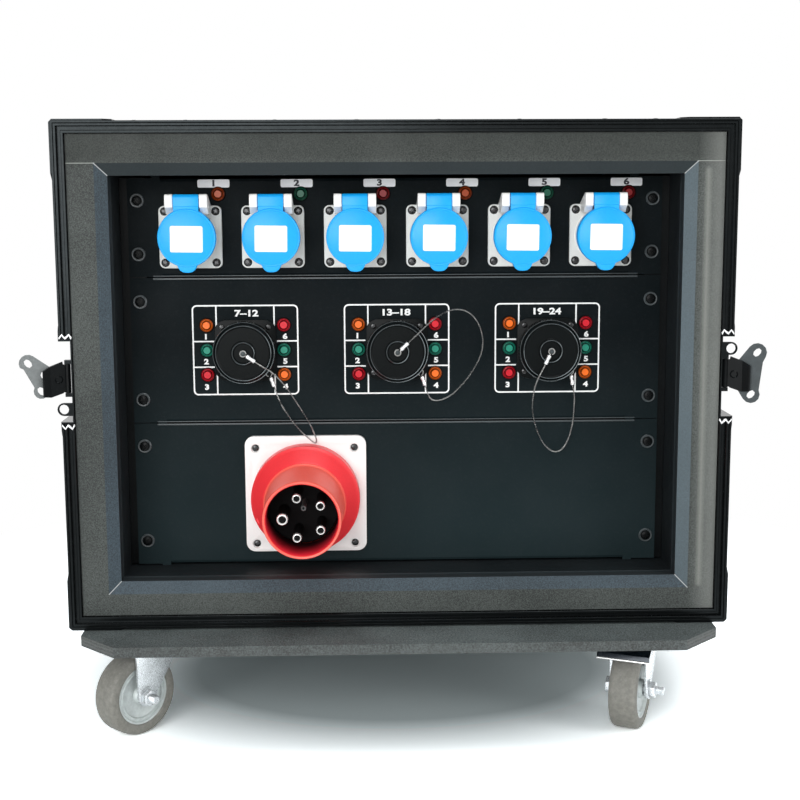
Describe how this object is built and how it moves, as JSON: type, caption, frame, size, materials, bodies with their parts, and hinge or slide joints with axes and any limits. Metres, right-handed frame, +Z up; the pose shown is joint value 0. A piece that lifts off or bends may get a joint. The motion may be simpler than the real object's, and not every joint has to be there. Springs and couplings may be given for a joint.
{
  "type": "power distribution box",
  "caption": "Rack power distribution box in a wheeled flight case: lidded mains sockets, capped multipin outlets and a shrouded pin inlet in an open front, with side latches and handles.",
  "frame": {"origin": "on the floor, under the middle of the case and its wheel board", "axes": "+Z up; the open front with its sockets faces -Y; +X is to the right as seen from the front"},
  "size_m": [0.6487, 0.554, 0.5556],
  "materials": {
    "laminate": "fine speckled dark grey laminate",
    "black_aluminium": "black anodised, satin",
    "black_panel": "black powder coat, satin",
    "zinc_steel": "bright zinc plate",
    "white_plastic": "smooth",
    "blue_plastic": "smooth",
    "red_plastic": "smooth",
    "black_plastic": "fine grain",
    "wire_steel": "bright twisted wire",
    "dark_steel": "black coat, semi gloss",
    "grey_rubber": "grey, matt"
  },
  "bodies": {
    "case": {"case_top": "laminate", "case_bottom": "laminate", "case_back": "laminate", "case_left": "laminate", "case_right": "laminate", "face_frame": "laminate", "inner_sleeve": "laminate", "wheel_board": "laminate", "lid_track_upper": "black_aluminium", "lid_track_lower": "black_aluminium", "edge_trim": "black_aluminium", "latch_dish_left": "black_aluminium", "latch_dish_right": "black_aluminium", "handle_dish_left": "black_aluminium", "handle_dish_right": "black_aluminium", "outlet_panel": "black_panel", "multipin_panel": "black_panel", "inlet_panel": "black_panel", "rack_rail_left": "dark_steel", "rack_rail_right": "dark_steel", "socket_1": "white_plastic", "socket_2": "white_plastic", "socket_3": "white_plastic", "socket_4": "white_plastic", "socket_5": "white_plastic", "socket_6": "white_plastic", "receptacle_1": "black_plastic", "lanyard_1": "wire_steel", "receptacle_2": "black_plastic", "lanyard_2": "wire_steel", "receptacle_3": "black_plastic", "lanyard_3": "wire_steel", "inlet_flange": "white_plastic", "inlet_shroud": "red_plastic", "inlet_pins": "black_plastic"},
    "socket_lid_1": {"socket_lid_1": "blue_plastic"},
    "socket_lid_2": {"socket_lid_2": "blue_plastic"},
    "socket_lid_3": {"socket_lid_3": "blue_plastic"},
    "socket_lid_4": {"socket_lid_4": "blue_plastic"},
    "socket_lid_5": {"socket_lid_5": "blue_plastic"},
    "socket_lid_6": {"socket_lid_6": "blue_plastic"},
    "cap_1": {"cap_1": "black_plastic"},
    "cap_2": {"cap_2": "black_plastic"},
    "cap_3": {"cap_3": "black_plastic"},
    "caster_fork_front_left": {"caster_fork_front_left": "zinc_steel"},
    "caster_wheel_front_left": {"caster_wheel_front_left": "grey_rubber"},
    "caster_fork_front_right": {"caster_fork_front_right": "zinc_steel"},
    "caster_wheel_front_right": {"caster_wheel_front_right": "grey_rubber"},
    "brake_pedal_front_right": {"brake_pedal_front_right": "dark_steel"},
    "caster_fork_rear_left": {"caster_fork_rear_left": "zinc_steel"},
    "caster_wheel_rear_left": {"caster_wheel_rear_left": "grey_rubber"},
    "brake_pedal_rear_left": {"brake_pedal_rear_left": "dark_steel"},
    "caster_fork_rear_right": {"caster_fork_rear_right": "zinc_steel"},
    "caster_wheel_rear_right": {"caster_wheel_rear_right": "grey_rubber"},
    "latch_arm_left": {"latch_arm_left": "dark_steel"},
    "latch_wing_left": {"latch_wing_left": "dark_steel"},
    "handle_bail_left": {"handle_bail_left": "dark_steel"},
    "latch_arm_right": {"latch_arm_right": "dark_steel"},
    "latch_wing_right": {"latch_wing_right": "dark_steel"},
    "handle_bail_right": {"handle_bail_right": "dark_steel"}
  },
  "joints": [
    {"name": "socket_lid_1_hinge", "type": "hinge", "parent": "case", "child": "socket_lid_1", "pos_m": [-0.185, -0.191, 0.4871], "axis": [-1, 0, 0], "range_deg": [0, 105], "stiffness_Nm_per_rad": 0.02, "springref_deg": -28.65},
    {"name": "socket_lid_2_hinge", "type": "hinge", "parent": "case", "child": "socket_lid_2", "pos_m": [-0.111, -0.191, 0.4871], "axis": [-1, 0, 0], "range_deg": [0, 105], "stiffness_Nm_per_rad": 0.02, "springref_deg": -28.65},
    {"name": "socket_lid_3_hinge", "type": "hinge", "parent": "case", "child": "socket_lid_3", "pos_m": [-0.037, -0.191, 0.4871], "axis": [-1, 0, 0], "range_deg": [0, 105], "stiffness_Nm_per_rad": 0.02, "springref_deg": -28.65},
    {"name": "socket_lid_4_hinge", "type": "hinge", "parent": "case", "child": "socket_lid_4", "pos_m": [0.037, -0.191, 0.4871], "axis": [-1, 0, 0], "range_deg": [0, 105], "stiffness_Nm_per_rad": 0.02, "springref_deg": -28.65},
    {"name": "socket_lid_5_hinge", "type": "hinge", "parent": "case", "child": "socket_lid_5", "pos_m": [0.111, -0.191, 0.4871], "axis": [-1, 0, 0], "range_deg": [0, 105], "stiffness_Nm_per_rad": 0.02, "springref_deg": -28.65},
    {"name": "socket_lid_6_hinge", "type": "hinge", "parent": "case", "child": "socket_lid_6", "pos_m": [0.185, -0.191, 0.4871], "axis": [-1, 0, 0], "range_deg": [0, 105], "stiffness_Nm_per_rad": 0.02, "springref_deg": -28.65},
    {"name": "cap_1_turn", "type": "hinge", "parent": "case", "child": "cap_1", "pos_m": [-0.138, -0.163, 0.35152], "axis": [0, -1, 0], "range_deg": [0, 90]},
    {"name": "cap_2_turn", "type": "hinge", "parent": "case", "child": "cap_2", "pos_m": [0, -0.163, 0.35152], "axis": [0, -1, 0], "range_deg": [0, 90]},
    {"name": "cap_3_turn", "type": "hinge", "parent": "case", "child": "cap_3", "pos_m": [0.138, -0.163, 0.35152], "axis": [0, -1, 0], "range_deg": [0, 90]},
    {"name": "caster_fork_front_left_swivel", "type": "hinge", "parent": "case", "child": "caster_fork_front_left", "pos_m": [-0.226, -0.171, 0.1], "axis": [0, 0, 1], "continuous": true},
    {"name": "caster_wheel_front_left_roll", "type": "hinge", "parent": "caster_fork_front_left", "child": "caster_wheel_front_left", "pos_m": [-0.24431, -0.19084, 0.0375], "axis": [0.7349, -0.6782, 0], "continuous": true},
    {"name": "caster_fork_front_right_swivel", "type": "hinge", "parent": "case", "child": "caster_fork_front_right", "pos_m": [0.226, -0.171, 0.1], "axis": [0, 0, 1], "continuous": true},
    {"name": "caster_wheel_front_right_roll", "type": "hinge", "parent": "caster_fork_front_right", "child": "caster_wheel_front_right", "pos_m": [0.21493, -0.19563, 0.0375], "axis": [0.9121, -0.4099, 0], "continuous": true},
    {"name": "brake_pedal_front_right_tilt", "type": "hinge", "parent": "caster_fork_front_right", "child": "brake_pedal_front_right", "pos_m": [0.21534, -0.19472, 0.0805], "axis": [0.9121, -0.4099, 0], "range_deg": [0, 12]},
    {"name": "caster_fork_rear_left_swivel", "type": "hinge", "parent": "case", "child": "caster_fork_rear_left", "pos_m": [-0.226, 0.171, 0.1], "axis": [0, 0, 1], "continuous": true},
    {"name": "caster_wheel_rear_left_roll", "type": "hinge", "parent": "caster_fork_rear_left", "child": "caster_wheel_rear_left", "pos_m": [-0.24187, 0.14916, 0.0375], "axis": [0.809, -0.5878, 0], "continuous": true},
    {"name": "brake_pedal_rear_left_tilt", "type": "hinge", "parent": "caster_fork_rear_left", "child": "brake_pedal_rear_left", "pos_m": [-0.24128, 0.14997, 0.0805], "axis": [0.809, -0.5878, 0], "range_deg": [0, 12]},
    {"name": "caster_fork_rear_right_swivel", "type": "hinge", "parent": "case", "child": "caster_fork_rear_right", "pos_m": [0.226, 0.171, 0.1], "axis": [0, 0, 1], "continuous": true},
    {"name": "caster_wheel_rear_right_roll", "type": "hinge", "parent": "caster_fork_rear_right", "child": "caster_wheel_rear_right", "pos_m": [0.21129, 0.14836, 0.0375], "axis": [0.8387, -0.5446, 0], "continuous": true},
    {"name": "latch_arm_left_hinge", "type": "hinge", "parent": "case", "child": "latch_arm_left", "pos_m": [-0.2878, -0.221, 0.3337], "axis": [0, 0, 1], "range_deg": [-108, 68]},
    {"name": "latch_wing_left_pivot", "type": "hinge", "parent": "latch_arm_left", "child": "latch_wing_left", "pos_m": [-0.29513, -0.22367, 0.3337], "axis": [0.342, -0.9397, 0], "range_deg": [-15, 15]},
    {"name": "handle_bail_left_hinge", "type": "hinge", "parent": "case", "child": "handle_bail_left", "pos_m": [-0.2853, 0.035, 0.35345], "axis": [0, 1, 0], "range_deg": [0, 90]},
    {"name": "latch_arm_right_hinge", "type": "hinge", "parent": "case", "child": "latch_arm_right", "pos_m": [0.2878, -0.221, 0.3337], "axis": [0, 0, 1], "range_deg": [-68, 108]},
    {"name": "latch_wing_right_pivot", "type": "hinge", "parent": "latch_arm_right", "child": "latch_wing_right", "pos_m": [0.29513, -0.22367, 0.3337], "axis": [-0.342, -0.9397, 0], "range_deg": [-15, 15]},
    {"name": "handle_bail_right_hinge", "type": "hinge", "parent": "case", "child": "handle_bail_right", "pos_m": [0.2853, 0.035, 0.35345], "axis": [0, -1, 0], "range_deg": [0, 90]}
  ]
}
